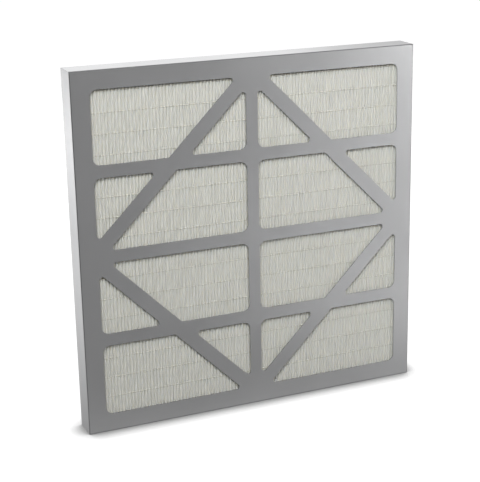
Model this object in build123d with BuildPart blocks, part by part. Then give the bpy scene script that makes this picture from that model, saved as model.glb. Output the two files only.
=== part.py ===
from build123d import *
import os
from math import atan2, degrees, hypot

# Cassette air filter: a mini-pleat pack held between two folded sheet-metal trays.
# Each tray's face is punched with sixteen windows under a diamond of braces.
# Millimetres. The filter stands on its narrow bottom side, front towards -Y, +Z up.
# The origin is the middle of the bottom side.

# Overall size
width = 592.0
height = 592.0
depth = 45.0

# Folded sheet
sheet = 0.8
bend_inner = 0.5
bend_outer = bend_inner + sheet
seam_gap = 0.2
corner_tab = 15.0
corner_tab_depth = 22.0
rear_lip = 10.0

# Windows and bars of the two faces
border = 30.0
bar = 20.0
brace = 23.0
brace_inset = 21.5
corner_radius = 12.0
tip_radius = 5.0

# Pleat pack
media = 0.6
pleat_pitch = 5.55
crease = 0.7
face_gap = 3.7

# Adhesive that holds the pack in the tray
seal = 6.0
seal_clearance = 0.5

# Spacer threads across the folds
thread_pitch = 33.35
thread_from_top = 34.0
thread_from_bottom = 16.0
thread_width = 1.8
thread_height = 0.6

# Places worked out from the sizes above
pack_depth = depth - 2 * (sheet + face_gap)
pack_width = width - 2 * (sheet + seal)
pack_height = height - 2 * (sheet + seal)
front_plane = Plane(origin=(0, -depth / 2, height / 2), x_dir=(1, 0, 0), z_dir=(0, -1, 0))
rear_plane = Plane(origin=(0, depth / 2, height / 2), x_dir=(-1, 0, 0), z_dir=(0, 1, 0))

# Upper left quarter of the pattern, measured from the middle of the face
cell_width = width / 2 - border - bar / 2
cell_height = (height / 2 - border - bar - bar / 2) / 2
cell_x = -(bar + cell_width) / 2
lower_y = (bar + cell_height) / 2
upper_y = lower_y + bar + cell_height
brace_top = height / 2 - brace_inset
brace_side = width / 2 - brace_inset
brace_length = hypot(brace_top, brace_side)
brace_angle = degrees(atan2(brace_top, brace_side))


def on_cell_corner(point):
    """True for a square corner that the brace has left of a cell."""
    in_x = abs(abs(point.X - cell_x) - cell_width / 2) < 0.01
    in_y = min(abs(abs(point.Y - row) - cell_height / 2) for row in (lower_y, upper_y)) < 0.01
    return in_x and in_y


def on_brace_edge(point):
    """True for a corner that the brace's edge cuts into a cell."""
    across = (point.Y * brace_side - point.X * brace_top - brace_top * brace_side) / brace_length
    return abs(abs(across) - brace / 2) < 0.01


with BuildSketch() as quarter:
    with Locations((cell_x, lower_y), (cell_x, upper_y)):
        Rectangle(cell_width, cell_height)
    with Locations(Location((-brace_side / 2, brace_top / 2), brace_angle)):
        Rectangle(2 * brace_length, brace, mode=Mode.SUBTRACT)
    fillet([v for v in quarter.vertices() if on_brace_edge(v)], radius=tip_radius)
    fillet([v for v in quarter.vertices() if on_cell_corner(v)], radius=corner_radius)

with BuildSketch() as windows:
    add(quarter.sketch)
    mirror(about=Plane.YZ)
    mirror(about=Plane.XZ)


def fold_tray(plane, tray_width, tray_height, flap, tab_depth):
    """Fold one punched sheet: its face lies in the plane and four flaps turn back from it."""
    outwards = Axis(plane.origin, plane.z_dir)
    with BuildSketch(plane) as blank:
        Rectangle(tray_width, tray_height)
    extrude(blank.sketch, amount=-flap)
    fillet(faces().sort_by(outwards)[-1].edges(), radius=bend_outer)

    with BuildSketch(plane.offset(-sheet)) as inside:
        Rectangle(tray_width - 2 * sheet, tray_height - 2 * sheet)
    extrude(inside.sketch, amount=-flap, mode=Mode.SUBTRACT)
    fillet(faces().filter_by(outwards).sort_by(outwards)[-2].edges(), radius=bend_inner)

    with BuildSketch(plane) as punched:
        add(windows.sketch)
    extrude(punched.sketch, amount=-sheet, mode=Mode.SUBTRACT)

    # The upright flaps end just short of the other two, and a tab at each end laps behind those
    with BuildSketch(plane.offset(-bend_outer)) as seams:
        with GridLocations(tray_width - sheet, tray_height - 2 * sheet - seam_gap, 2, 2):
            Rectangle(sheet, seam_gap)
    extrude(seams.sketch, amount=-flap, mode=Mode.SUBTRACT)
    with BuildSketch(plane.offset(-2 * bend_outer)) as tabs:
        with GridLocations(tray_width - 2 * sheet - corner_tab, tray_height - 3 * sheet - 2 * seam_gap, 2, 2):
            Rectangle(corner_tab, sheet)
    extrude(tabs.sketch, amount=-tab_depth)


# Front tray: its flaps make the outside of the filter and reach to the rear
with BuildPart() as front_frame:
    fold_tray(front_plane, width, height, depth, corner_tab_depth)

# Rear tray: nests inside the flaps of the front one, its face flush with their edges
with BuildPart() as rear_frame:
    fold_tray(rear_plane, width - 2 * sheet, height - 2 * sheet, rear_lip, rear_lip - 3 * bend_outer)


def fold_line():
    """Middle line of the folded sheet, seen from above, from its left end leg to its right one."""
    front = -(pack_depth - media) / 2
    rear = -front
    left = -(pack_width - media) / 2
    pleats = int((pack_width - media - crease) // pleat_pitch)
    pitch = (pack_width - media - crease) / pleats
    line = [(left, front)]
    for pleat in range(pleats):
        start = left + pleat * pitch
        line += [(start, rear), (start + crease, rear)]
        line += [(start + pitch / 2, front), (start + pitch / 2 + crease, front)]
    line += [(-left - crease, rear), (-left, rear), (-left, front)]
    return [Vector(x, y) for x, y in line]


def thicken(line, thickness):
    """Closed outline of a strip that follows the line, with mitred corners."""
    ways = [(b - a).normalized() for a, b in zip(line, line[1:])]
    before = [ways[0]] + ways
    after = ways + [ways[-1]]
    one_side, other_side = [], []
    for point, u, v in zip(line, before, after):
        mitre = Vector(-u.Y - v.Y, u.X + v.X) * (thickness / 2 / (1 + u.dot(v)))
        one_side.append(point + mitre)
        other_side.append(point - mitre)
    return one_side + other_side[::-1]


# Pleated media: one sheet folded to and fro, folds upright
with BuildPart() as pleated_media:
    with BuildSketch(Plane.XY.offset(sheet + seal)):
        with BuildLine():
            Polyline(*thicken(fold_line(), media), close=True)
        make_face()
    extrude(amount=pack_height)

# Adhesive seals: the fold ends stand in the lower and upper ones, the end legs lean on the side ones
seal_front = -pack_depth / 2
seal_depth = depth / 2 - rear_lip - seal_clearance - seal_front
seal_y = seal_front + seal_depth / 2
tab_reach = corner_tab + seal_clearance
tab_height = sheet + seam_gap + seal_clearance


def end_seal(middle_z, flap_side):
    """Bar of adhesive along a level flap, with its ends stepped under the corner tabs."""
    with BuildSketch(Plane.XZ.offset(-seal_front)) as bar_face:
        with Locations((0, middle_z)):
            Rectangle(width - 2 * sheet, seal)
        with Locations((0, middle_z + flap_side * (seal - tab_height) / 2)):
            with GridLocations(width - 2 * sheet - tab_reach, 0, 2, 1):
                Rectangle(tab_reach, tab_height, mode=Mode.SUBTRACT)
    extrude(bar_face.sketch, amount=-seal_depth)


with BuildPart() as lower_seal:
    end_seal(sheet + seal / 2, -1)

with BuildPart() as upper_seal:
    end_seal(height - sheet - seal / 2, 1)

with BuildPart() as left_seal:
    with Locations((-(pack_width + seal) / 2, seal_y, height / 2)):
        Box(seal, seal_depth, pack_height)

with BuildPart() as right_seal:
    with Locations(((pack_width + seal) / 2, seal_y, height / 2)):
        Box(seal, seal_depth, pack_height)


def spacer_thread(z, side):
    """Round-backed thread laid across the fold tips of one side, at one height."""
    seat = side * pack_depth / 2
    with BuildSketch(Plane.YZ.offset(-pack_width / 2)) as section:
        with BuildLine():
            foot = Line((seat, z - thread_width / 2), (seat, z + thread_width / 2))
            ThreePointArc(foot @ 1, (seat + side * thread_height, z), foot @ 0)
        make_face()
    extrude(section.sketch, amount=pack_width)


threads = int((height - thread_from_top - thread_from_bottom) // thread_pitch) + 1
pieces = {
    "front_frame": front_frame,
    "rear_frame": rear_frame,
    "pleated_media": pleated_media,
    "lower_seal": lower_seal,
    "upper_seal": upper_seal,
    "left_seal": left_seal,
    "right_seal": right_seal,
}
for row in range(threads):
    row_z = height - thread_from_top - row * thread_pitch
    with BuildPart() as front_thread:
        spacer_thread(row_z, -1)
    with BuildPart() as rear_thread:
        spacer_thread(row_z, 1)
    pieces[f"front_thread_{row + 1:02d}"] = front_thread
    pieces[f"rear_thread_{row + 1:02d}"] = rear_thread

os.makedirs("parts", exist_ok=True)
for name, piece in pieces.items():
    piece.part.label = name
    export_step(piece.part, f"parts/{name}.step")
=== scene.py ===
import math

import bpy
from mathutils import Matrix, Vector, noise

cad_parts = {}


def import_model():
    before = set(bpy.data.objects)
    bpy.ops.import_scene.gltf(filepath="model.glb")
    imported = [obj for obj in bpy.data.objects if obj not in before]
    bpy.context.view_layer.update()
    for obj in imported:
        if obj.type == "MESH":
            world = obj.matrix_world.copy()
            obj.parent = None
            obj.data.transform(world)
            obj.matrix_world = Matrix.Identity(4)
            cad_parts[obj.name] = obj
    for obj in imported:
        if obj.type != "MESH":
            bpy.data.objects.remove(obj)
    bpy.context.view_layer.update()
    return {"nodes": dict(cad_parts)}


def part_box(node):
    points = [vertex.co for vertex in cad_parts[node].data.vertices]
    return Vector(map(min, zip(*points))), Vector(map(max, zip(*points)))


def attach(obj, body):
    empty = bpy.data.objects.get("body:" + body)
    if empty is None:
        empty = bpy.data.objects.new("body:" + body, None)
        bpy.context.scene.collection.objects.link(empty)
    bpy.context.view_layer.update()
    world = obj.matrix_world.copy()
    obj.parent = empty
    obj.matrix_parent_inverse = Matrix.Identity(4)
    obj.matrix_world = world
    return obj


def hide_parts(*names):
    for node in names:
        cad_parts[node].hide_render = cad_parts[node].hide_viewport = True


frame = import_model()

# Cassette air filter: a pleat pack between two sheet-metal trays.
# The trays and the seals keep their CAD meshes and get materials here.
# The media and the spacer threads are modelled here. All sizes are in metres.

# Camera, fitted to the photograph, with its turns in degrees and its lens in millimetres
CAMERA_PLACE = (-0.8118, -1.9077, 0.9140)
CAMERA_YAW = 24.865
CAMERA_PITCH = 16.976
CAMERA_ROLL = -0.534
CAMERA_LENS = 97.22
CAMERA_SHIFT = (-0.10, 0.0)

# Pleated media: one sheet with rounded folds
MEDIA = 0.0006
PLEAT_PITCH = 0.00555
TIP_RADIUS = 0.0021
TIP_TURNS = [math.radians(a) for a in (-88, -53, -18, 18, 53, 88)]
LEVELS = 36

# How far a fold strays: metres, row of the noise, and its steps per fold and per metre of height
LEAN = (0.00003, 11.0, 3.7, 2.0)
WAVE = (0.00001, 47.0, 3.7, 30.0)
RECESS = (0.00006, 83.0, 2.9, 6.0)

# Spacer threads. On a tip the crest stands proud and follows a share of the tip's round,
# and the back sinks in. Between two tips the crest dips and the back lies deep.
THREAD_WIDTH = 0.0018
THREAD_PROUD = 0.0002
THREAD_FOLLOW = 0.55
THREAD_SINK = 0.0003
THREAD_DIP = 0.0010
THREAD_DEEP = 0.0030
TIP_SHARES = (-0.85, -0.4, 0.4, 0.85)
THREAD_RING = ((1.0, 0.0), (0.62, 0.8), (0.0, 1.0), (-0.62, 0.8), (-1.0, 0.0), (0.0, -1.0))

# How far a thread wanders up and down, the share by which it swells, and the steps of the noise
# per metre along it and per metre of height
THREAD_WANDER = 0.00035
WANDER_STEPS = (25, 90)
THREAD_SWELL = 0.25
SWELL_STEPS = (160, 70)

# Zones of a tray: outwards from the middle of its face, and from the middle plane to its face
HALF_FACE = 0.296
BEND_OUTWARDS = (HALF_FACE - 0.0022, HALF_FACE - 0.0008)
BEND_DEPTH = (0.0203, 0.0217)
WINDOWS = (HALF_FACE - 0.020, HALF_FACE - 0.025)

# How squarely a surface faces forward where it is no cut edge, and where it is one
CUT_FACING = (0.7, 0.5)
# Share of painted shade in the dark band along the bends, which stands in for the fold's darker reflection
BEND_SHADE_SHARE = 0.58

# Painted light: the media's flanks are painted lighter and its tips greyer, to even out the shade in the
# valleys between folds, from the first of these depths to the second
TIP_SHADE_DEPTH = (0.0146, 0.0179)

# Colours, in pairs where a cloud of noise mixes two
ZINC = ((0.430, 0.431, 0.437), (0.465, 0.466, 0.472))
# Painted shade: the dark band along the bends
BEND_PAINTED_SHADE = (0.11, 0.11, 0.114)
# Painted shade: window cut edges painted near-black, for the cut edge and the shaded gap behind it
CUT_EDGE_SHADE = (0.045, 0.044, 0.043)
MEDIA_FLANKS_LIT = ((0.90, 0.888, 0.80), (0.95, 0.938, 0.855))
MEDIA_TIPS_SHADED = (0.685, 0.673, 0.588)
GLUE = ((0.605, 0.59, 0.505), (0.645, 0.63, 0.545))
SEALANT = ((0.60, 0.58, 0.52), (0.70, 0.68, 0.62))

# Studio: tones of the floor, the reach of its contact shadow, and the strengths of the backdrop
FLOOR_HALF = 12.0
FLOOR_SEEN = 0.22
FLOOR_FELT = 0.25
SHADOW_REACH = 0.040
SHADOW_TONES = ((0.04, 0.04, 0.04), (0.93, 0.93, 0.93))
SHADOW_SPAN = (0.50, 0.97)
SHADOW_SAMPLES = 12
FLOOR_DEPTH = (-0.4, 0.8)
FLOOR_MIRRORED = (0.07, 0.92)
SKY_FELT = 0.4
SKY_TURN = (-0.4, 0.4)
SKY_MIRRORED = (0.29, 1.0)


# Node helpers

def node_tree(owner):
    """The empty node tree of a material or a world."""
    owner.use_nodes = True
    tree = owner.node_tree
    tree.nodes.clear()
    return tree


def surface(name, **constants):
    """A new material: its tree, its principled shader, and its object coordinates."""
    material = bpy.data.materials.new(name)
    tree = node_tree(material)
    shader = tree.nodes.new("ShaderNodeBsdfPrincipled")
    for key, value in constants.items():
        shader.inputs[key.replace("_", " ")].default_value = value
    output = tree.nodes.new("ShaderNodeOutputMaterial")
    tree.links.new(shader.outputs["BSDF"], output.inputs["Surface"])
    place = tree.nodes.new("ShaderNodeTexCoord").outputs["Object"]
    return material, tree, shader, place


def stretched(tree, place, scale):
    """The place, multiplied along each axis."""
    mapping = tree.nodes.new("ShaderNodeMapping")
    mapping.inputs["Scale"].default_value = scale
    tree.links.new(place, mapping.inputs["Vector"])
    return mapping.outputs["Vector"]


def noise_value(tree, place, scale=1.0, detail=3.0, roughness=0.5):
    """Noise from 0 to 1 at the place."""
    texture = tree.nodes.new("ShaderNodeTexNoise")
    texture.inputs["Scale"].default_value = scale
    texture.inputs["Detail"].default_value = detail
    texture.inputs["Roughness"].default_value = roughness
    tree.links.new(place, texture.inputs["Vector"])
    return texture.outputs["Fac"]


def ramp(tree, value, low, high, start=0.35, end=0.65):
    """Colours between low and high as the value goes from start to end."""
    node = tree.nodes.new("ShaderNodeValToRGB")
    node.color_ramp.elements[0].position = start
    node.color_ramp.elements[0].color = (*low, 1)
    node.color_ramp.elements[1].position = end
    node.color_ramp.elements[1].color = (*high, 1)
    tree.links.new(value, node.inputs["Fac"])
    return node.outputs["Color"]


def between(tree, value, low, high):
    """A number that goes from low to high as the value goes from 0 to 1."""
    node = tree.nodes.new("ShaderNodeMapRange")
    node.inputs["To Min"].default_value = low
    node.inputs["To Max"].default_value = high
    tree.links.new(value, node.inputs["Value"])
    return node.outputs["Result"]


def calc(tree, operation, first, second=0.0):
    """One sum on two values, each a socket or a number."""
    node = tree.nodes.new("ShaderNodeMath")
    node.operation = operation
    for socket, value in zip(node.inputs, (first, second)):
        if isinstance(value, (int, float)):
            socket.default_value = value
        else:
            tree.links.new(value, socket)
    return node.outputs[0]


def step(tree, value, start, end):
    """Rises smoothly from 0 to 1 as the value goes from start to end."""
    node = tree.nodes.new("ShaderNodeMapRange")
    node.interpolation_type = "SMOOTHSTEP"
    node.inputs["From Min"].default_value = start
    node.inputs["From Max"].default_value = end
    tree.links.new(value, node.inputs["Value"])
    return node.outputs["Result"]


def split(tree, vector):
    """The vector's X, Y and Z."""
    node = tree.nodes.new("ShaderNodeSeparateXYZ")
    tree.links.new(vector, node.inputs[0])
    return node.outputs


def mix(tree, share, colour, other):
    """The colour, with a share of a second, constant one."""
    node = tree.nodes.new("ShaderNodeMix")
    node.data_type = "RGBA"
    factor, first, second = node.inputs[0], node.inputs[6], node.inputs[7]
    tree.links.new(share, factor)
    tree.links.new(colour, first)
    second.default_value = (*other, 1)
    return node.outputs[2]


def bump(tree, shader, height, strength, distance):
    """Gives the shader small relief from the height."""
    node = tree.nodes.new("ShaderNodeBump")
    node.inputs["Strength"].default_value = strength
    node.inputs["Distance"].default_value = distance
    tree.links.new(height, node.inputs["Height"])
    tree.links.new(node.outputs["Normal"], shader.inputs["Normal"])


# Materials

def sheet_metal(name, side):
    """Satin zinc-coated sheet: cool mid grey, slow changes of tone, painted shade as a dark band along the
    bends, and cut edges painted near-black for the shade behind them.
    """
    material, tree, shader, place = surface(name, Metallic=1.0)
    cloud = noise_value(tree, place, scale=6.0, detail=2.0)
    zinc = ramp(tree, cloud, *ZINC)

    spot = split(tree, place)
    level = calc(tree, "SUBTRACT", spot["Z"], HALF_FACE)
    outwards = calc(tree, "MAXIMUM", calc(tree, "ABSOLUTE", spot["X"]), calc(tree, "ABSOLUTE", level))
    depth = calc(tree, "MULTIPLY", spot["Y"], side)
    bend = calc(tree, "MULTIPLY", step(tree, outwards, *BEND_OUTWARDS), step(tree, depth, *BEND_DEPTH))
    # Painted shade: a dark band along the bends, where the turn of the fold reflects darker
    bend_shaded = mix(tree, calc(tree, "MULTIPLY", bend, BEND_SHADE_SHARE), zinc, BEND_PAINTED_SHADE)

    facing = split(tree, tree.nodes.new("ShaderNodeTexCoord").outputs["Normal"])
    # Painted shade: the window cut edges are painted near-black, standing in for the shade in the gap
    # between the sheet and the media
    edge = step(tree, calc(tree, "ABSOLUTE", facing["Y"]), *CUT_FACING)
    cut_edge_shade_mask = calc(tree, "MULTIPLY", edge, step(tree, outwards, *WINDOWS))
    tree.links.new(mix(tree, cut_edge_shade_mask, bend_shaded, CUT_EDGE_SHADE), shader.inputs["Base Color"])

    grain = noise_value(tree, stretched(tree, place, (20, 300, 900)), detail=4.0)
    tree.links.new(between(tree, grain, low=0.33, high=0.41), shader.inputs["Roughness"])
    bump(tree, shader, grain, strength=0.08, distance=0.00005)
    return material


def filter_media():
    """Cream non-woven sheet: matt, slightly translucent, with tangled fibres, and painted light: flanks
    lighter and tips greyer.
    """
    material, tree, shader, place = surface(
        "pleated_filter_media", Roughness=0.95, Subsurface_Weight=1.0, Subsurface_Scale=0.003,
        Subsurface_Radius=(1.0, 0.95, 0.85), Sheen_Weight=0.15, Sheen_Roughness=0.6)
    cloud = noise_value(tree, stretched(tree, place, (60, 60, 12)))
    flanks = ramp(tree, cloud, *MEDIA_FLANKS_LIT)
    depth = calc(tree, "ABSOLUTE", split(tree, place)["Y"])
    # Painted light: lighter flanks and greyer tips by depth, which even out the shade in the valleys
    tree.links.new(mix(tree, step(tree, depth, *TIP_SHADE_DEPTH), flanks, MEDIA_TIPS_SHADED), shader.inputs["Base Color"])
    fibre = noise_value(tree, stretched(tree, place, (2600, 2600, 700)), detail=5.0, roughness=0.7)
    bump(tree, shader, fibre, strength=0.35, distance=0.0001)
    return material


def hot_melt():
    """Set hot-melt glue: off-white, slightly waxy."""
    material, tree, shader, place = surface(
        "hot_melt_glue", Subsurface_Weight=0.25, Subsurface_Scale=0.002, Subsurface_Radius=(1.0, 0.9, 0.7))
    cloud = noise_value(tree, place, scale=180.0, detail=2.0)
    tree.links.new(ramp(tree, cloud, *GLUE), shader.inputs["Base Color"])
    tree.links.new(between(tree, cloud, low=0.55, high=0.75), shader.inputs["Roughness"])
    bump(tree, shader, cloud, strength=0.2, distance=0.0002)
    return material


def sealant():
    """Set adhesive bead along the edges of the pack."""
    material, tree, shader, place = surface("edge_sealant")
    cloud = noise_value(tree, place, scale=90.0, detail=4.0)
    tree.links.new(ramp(tree, cloud, *SEALANT), shader.inputs["Base Color"])
    tree.links.new(between(tree, cloud, low=0.5, high=0.7), shader.inputs["Roughness"])
    bump(tree, shader, cloud, strength=0.4, distance=0.0006)
    return material


# Mesh helpers

def mesh_piece(name, corners, faces, material, slot, *nodes):
    """A smooth piece that rides the root and stands for the CAD nodes."""
    mesh = bpy.data.meshes.new(name)
    mesh.from_pydata(corners, [], faces)
    mesh.validate()
    mesh.shade_smooth()
    mesh.materials.append(material)
    piece = bpy.data.objects.new(name, mesh)
    bpy.context.scene.collection.objects.link(piece)
    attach(piece, "root")
    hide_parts(*nodes)
    return piece


def paint(node, material):
    """Gives a CAD node its material."""
    mesh = frame["nodes"][node].data
    mesh.materials.clear()
    mesh.materials.append(material)


# Pleated media

pack_low, pack_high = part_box("pleated_media")
fold_span = pack_high.x - pack_low.x - MEDIA - 2 * TIP_RADIUS
pleats = round(fold_span / PLEAT_PITCH)
pitch = fold_span / pleats
first_fold = pack_low.x + MEDIA / 2 + TIP_RADIUS


def stray(kind, fold, z):
    """How far one fold strays in one way at a height."""
    most, row, per_fold, per_metre = kind
    return most * noise.noise(Vector((fold * per_fold, row, z * per_metre)))


def fold_shift(fold, z):
    """How far a fold strays sideways and inwards at a height: no two folds are quite alike."""
    return stray(LEAN, fold, z) + stray(WAVE, fold, z), (RECESS[0] + stray(RECESS, fold, z)) / 2


def media_columns():
    """Each upright line of the sheet: fold number, centre, way out of it, radius and side."""
    front = pack_low.y + MEDIA / 2 + TIP_RADIUS
    rear = pack_high.y - MEDIA / 2 - TIP_RADIUS
    columns = [(None, first_fold - TIP_RADIUS, pack_low.y, 1, 0, 0, 1)]
    for fold in range(2 * pleats + 1):
        at_front = fold % 2 == 1
        way = -1 if at_front else 1
        x = first_fold + fold * pitch / 2
        y = front if at_front else rear
        for turn in TIP_TURNS:
            columns.append((fold, x, y, math.sin(turn), way * math.cos(turn), TIP_RADIUS, -way))
    columns.append((None, first_fold + fold_span + TIP_RADIUS, pack_low.y, -1, 0, 0, 1))
    return columns


def media_mesh(material):
    """One sheet of media folded to and fro, with rounded folds, as a closed strip with two sides."""
    columns = media_columns()
    corners, faces = [], []
    for level in range(LEVELS + 1):
        z = pack_low.z + (pack_high.z - pack_low.z) * level / LEVELS
        for outer in (1, -1):
            for fold, x, y, along, out, radius, side in columns:
                dx, dy = (0, 0) if fold is None else fold_shift(fold, z)
                reach = radius + outer * side * MEDIA / 2
                inward = dy if side * radius > 0 else -dy
                corners.append((x + dx + reach * along, y + inward + reach * out, z))
    count = len(columns)
    ring = 2 * count
    last = count - 1
    # The two sides of the sheet and its upright ends
    for level in range(LEVELS):
        a, b = level * ring, (level + 1) * ring
        for c in range(last):
            faces.append((a + c, a + c + 1, b + c + 1, b + c))
            faces.append((a + count + c + 1, a + count + c, b + count + c, b + count + c + 1))
        faces.append((a + count, a, b, b + count))
        faces.append((a + last, a + count + last, b + count + last, b + last))
    # Its lower and upper edges
    top = LEVELS * ring
    for c in range(last):
        faces.append((c + 1, c, count + c, count + c + 1))
        faces.append((top + c, top + c + 1, top + count + c + 1, top + count + c))
    piece = mesh_piece("media_folds", corners, faces, material, "filter_media", "pleated_media")
    return piece


# Spacer threads

def thread_noise(steps, x, z, side):
    """Noise from -1 to 1 at a place on a thread."""
    along, up = steps
    return noise.noise(Vector((x * along, z * up, side)))


def thread_stations(low, high, middle, side):
    """Places along a thread: how far along, and the depths of its crest and back behind the tips."""
    start = 1 if side < 0 else 0
    tip = TIP_RADIUS + MEDIA / 2
    stations = []
    for fold in range(start, 2 * pleats + 1, 2):
        x = first_fold + fold * pitch / 2
        dx, dy = fold_shift(fold, middle)
        for share in TIP_SHARES:
            if low.x < x + share * tip < high.x:
                fall = tip - tip * math.sqrt(1 - share * share)
                crest = dy + THREAD_FOLLOW * fall - THREAD_PROUD
                stations.append((x + dx + share * tip, crest, dy + fall + THREAD_SINK))
        if fold + 1 < 2 * pleats:
            stations.append((x + pitch / 2, THREAD_DIP, THREAD_DEEP))
    return stations


def thread_mesh(name, node, side, material):
    """A glue thread that crosses each fold tip and fills the mouth of the valley behind it."""
    low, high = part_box(node)
    middle = (low.z + high.z) / 2
    seat = pack_low.y if side < 0 else pack_high.y
    stations = thread_stations(low, high, middle, side)
    corners, faces = [], []
    for x, crest, back in stations:
        wander = THREAD_WANDER * thread_noise(WANDER_STEPS, x, middle, side)
        swell = 1 + THREAD_SWELL * thread_noise(SWELL_STEPS, x, middle, side)
        for u, v in THREAD_RING:
            depth = (crest + back) / 2 - v * (back - crest) / 2
            corners.append((x, seat - side * depth, middle + wander + u * THREAD_WIDTH / 2 * swell))
    size = len(THREAD_RING)
    for station in range(len(stations) - 1):
        a, b = station * size, (station + 1) * size
        for k in range(size):
            n = (k + 1) % size
            faces.append((a + k, b + k, b + n, a + n))
    end = len(corners) - size
    faces.append(tuple(range(size)))
    faces.append(tuple(end + k for k in reversed(range(size))))
    if side < 0:
        faces = [face[::-1] for face in faces]
    return mesh_piece(name, corners, faces, material, "spacer_glue", node)


# Floor, light and camera

def diffuse(tree, tone):
    """A matt grey surface."""
    node = tree.nodes.new("ShaderNodeBsdfDiffuse")
    node.inputs["Color"].default_value = (tone, tone, tone, 1)
    return node.outputs[0]


def backdrop(tree, strength):
    """White light from all round, its strength a socket or a number."""
    node = tree.nodes.new("ShaderNodeBackground")
    node.inputs["Color"].default_value = (1, 1, 1, 1)
    if isinstance(strength, float):
        node.inputs["Strength"].default_value = strength
    else:
        tree.links.new(strength, node.inputs["Strength"])
    return node.outputs[0]


def choose(tree, share, first, second):
    """The first shader, or the second where the share is 1."""
    node = tree.nodes.new("ShaderNodeMixShader")
    for socket, value in zip(node.inputs, (share, first, second)):
        tree.links.new(value, socket)
    return node.outputs[0]


def add(tree, first, second):
    """Both shaders together."""
    node = tree.nodes.new("ShaderNodeAddShader")
    tree.links.new(first, node.inputs[0])
    tree.links.new(second, node.inputs[1])
    return node.outputs[0]


def floor_material():
    """White to the camera but for a contact shadow; to the sheet metal it brightens with depth."""
    material = bpy.data.materials.new("studio_floor")
    tree = node_tree(material)
    path = tree.nodes.new("ShaderNodeLightPath")

    shade = tree.nodes.new("ShaderNodeAmbientOcclusion")
    shade.inputs["Distance"].default_value = SHADOW_REACH
    shade.samples = SHADOW_SAMPLES
    glow = tree.nodes.new("ShaderNodeEmission")
    tree.links.new(ramp(tree, shade.outputs["AO"], *SHADOW_TONES, *SHADOW_SPAN), glow.inputs["Color"])
    seen = add(tree, diffuse(tree, FLOOR_SEEN), glow.outputs[0])

    mirrored = tree.nodes.new("ShaderNodeEmission")
    depth = split(tree, tree.nodes.new("ShaderNodeTexCoord").outputs["Object"])["Y"]
    behind = between(tree, step(tree, depth, *FLOOR_DEPTH), *FLOOR_MIRRORED)
    strength = calc(tree, "MULTIPLY", path.outputs["Is Glossy Ray"], behind)
    tree.links.new(strength, mirrored.inputs["Strength"])
    felt = add(tree, diffuse(tree, FLOOR_FELT), mirrored.outputs[0])

    output = tree.nodes.new("ShaderNodeOutputMaterial")
    tree.links.new(choose(tree, path.outputs["Is Camera Ray"], felt, seen), output.inputs["Surface"])
    return material


def floor():
    """Plain white floor that keeps the object's soft shadow."""
    mesh = bpy.data.meshes.new("studio_floor")
    corners = [(x * FLOOR_HALF, y * FLOOR_HALF, 0) for x, y in ((-1, -1), (1, -1), (1, 1), (-1, 1))]
    mesh.from_pydata(corners, [], [(0, 1, 2, 3)])
    mesh.materials.append(floor_material())
    plane = bpy.data.objects.new("studio_floor", mesh)
    bpy.context.scene.collection.objects.link(plane)


def world():
    """White backdrop for the camera; in the metal it is white behind the object and dimmer before it."""
    studio = bpy.data.worlds.new("studio")
    bpy.context.scene.world = studio
    tree = node_tree(studio)
    path = tree.nodes.new("ShaderNodeLightPath")
    way = split(tree, tree.nodes.new("ShaderNodeTexCoord").outputs["Generated"])
    mirrored = backdrop(tree, between(tree, step(tree, way["Y"], *SKY_TURN), *SKY_MIRRORED))
    white = backdrop(tree, 1.0)
    lit = choose(tree, path.outputs["Is Glossy Ray"], backdrop(tree, SKY_FELT), mirrored)
    seen = calc(tree, "MAXIMUM", path.outputs["Is Camera Ray"], path.outputs["Is Transmission Ray"])
    output = tree.nodes.new("ShaderNodeOutputWorld")
    tree.links.new(choose(tree, seen, lit, white), output.inputs["Surface"])


def softbox(name, place, target, width, height, watts, card=False, plain=False):
    """A studio lamp; a card shows in the metal alone, and a plain one lights all but the metal."""
    data = bpy.data.lights.new(name, "AREA")
    data.shape = "RECTANGLE"
    data.size = width
    data.size_y = height
    data.energy = watts
    lamp = bpy.data.objects.new(name, data)
    lamp.location = place
    lamp.visible_camera = False
    lamp.visible_diffuse = not card
    lamp.visible_glossy = not plain
    way = Vector(target) - Vector(place)
    lamp.rotation_euler = way.to_track_quat("-Z", "Y").to_euler()
    bpy.context.scene.collection.objects.link(lamp)


def floor_pool(name, place, cone, watts):
    """A pool of light on the floor beside the object, which the sheet metal mirrors."""
    data = bpy.data.lights.new(name, "SPOT")
    data.energy = watts
    data.spot_size = math.radians(cone)
    data.spot_blend = 1.0
    data.shadow_soft_size = 0.1
    lamp = bpy.data.objects.new(name, data)
    lamp.visible_camera = lamp.visible_glossy = False
    lamp.location = place
    bpy.context.scene.collection.objects.link(lamp)


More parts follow.
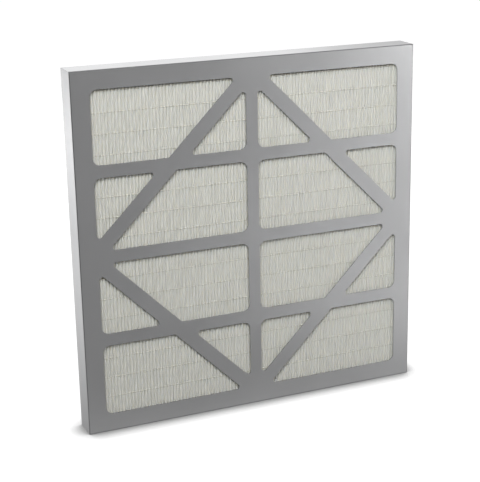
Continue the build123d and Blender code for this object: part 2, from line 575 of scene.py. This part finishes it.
def lamps():
    """The main lamp is aimed past the object, so that its light falls off to the left and downwards."""
    softbox("front_high", (-0.85, -1.8, 2.2), target=(1.3, 0, 2.0), width=1.2, height=1.2, watts=84)
    softbox("front_right", (0.9, -1.7, 2.0), target=(0.2, 0, 0.55), width=0.9, height=0.9, watts=4)
    softbox("right_card", (2.4, -1.9, 0.45), target=(0, 0, 0.3), width=1.0, height=0.9, watts=33, card=True)
    softbox("rear_left", (-0.9, 2.4, 1.0), target=(0, 0, 0.3), width=1.2, height=1.2, watts=46, plain=True)
    softbox("rear_card", (0.3, 2.8, 1.2), target=(0, 0, 0.5), width=2.4, height=1.2, watts=7, card=True)
    floor_pool("pool_right", (0.74, -0.60, 1.5), cone=56, watts=250)
    floor_pool("pool_left", (-1.05, 2.6, 1.9), cone=78, watts=500)


def camera():
    """The photograph's camera, from its place and its three turns."""
    yaw, pitch_down, roll = (math.radians(a) for a in (CAMERA_YAW, CAMERA_PITCH, CAMERA_ROLL))
    flat = math.cos(pitch_down)
    ahead = Vector((math.sin(yaw) * flat, math.cos(yaw) * flat, -math.sin(pitch_down)))
    level = Vector((math.cos(yaw), -math.sin(yaw), 0))
    upward = level.cross(ahead)
    right = level * math.cos(roll) + upward * math.sin(roll)
    up = upward * math.cos(roll) - level * math.sin(roll)
    data = bpy.data.cameras.new("photo_camera")
    data.lens = CAMERA_LENS
    data.shift_x, data.shift_y = CAMERA_SHIFT
    eye = bpy.data.objects.new("photo_camera", data)
    turn = Matrix((right, up, -ahead)).transposed()
    eye.matrix_world = Matrix.Translation(CAMERA_PLACE) @ turn.to_4x4()
    bpy.context.scene.collection.objects.link(eye)
    bpy.context.scene.camera = eye


camera()
world()
floor()
lamps()

paint("front_frame", sheet_metal("satin_sheet_front", side=-1))
paint("rear_frame", sheet_metal("satin_sheet_rear", side=1))
adhesive = sealant()
for edge in ("lower_seal", "upper_seal", "left_seal", "right_seal"):
    paint(edge, adhesive)
media_mesh(filter_media())
glue = hot_melt()
for node in sorted(frame["nodes"]):
    if "_thread_" in node:
        thread_mesh(f"glue_{node}", node, -1 if node.startswith("front") else 1, glue)

bpy.context.scene.view_settings.view_transform = "Standard"
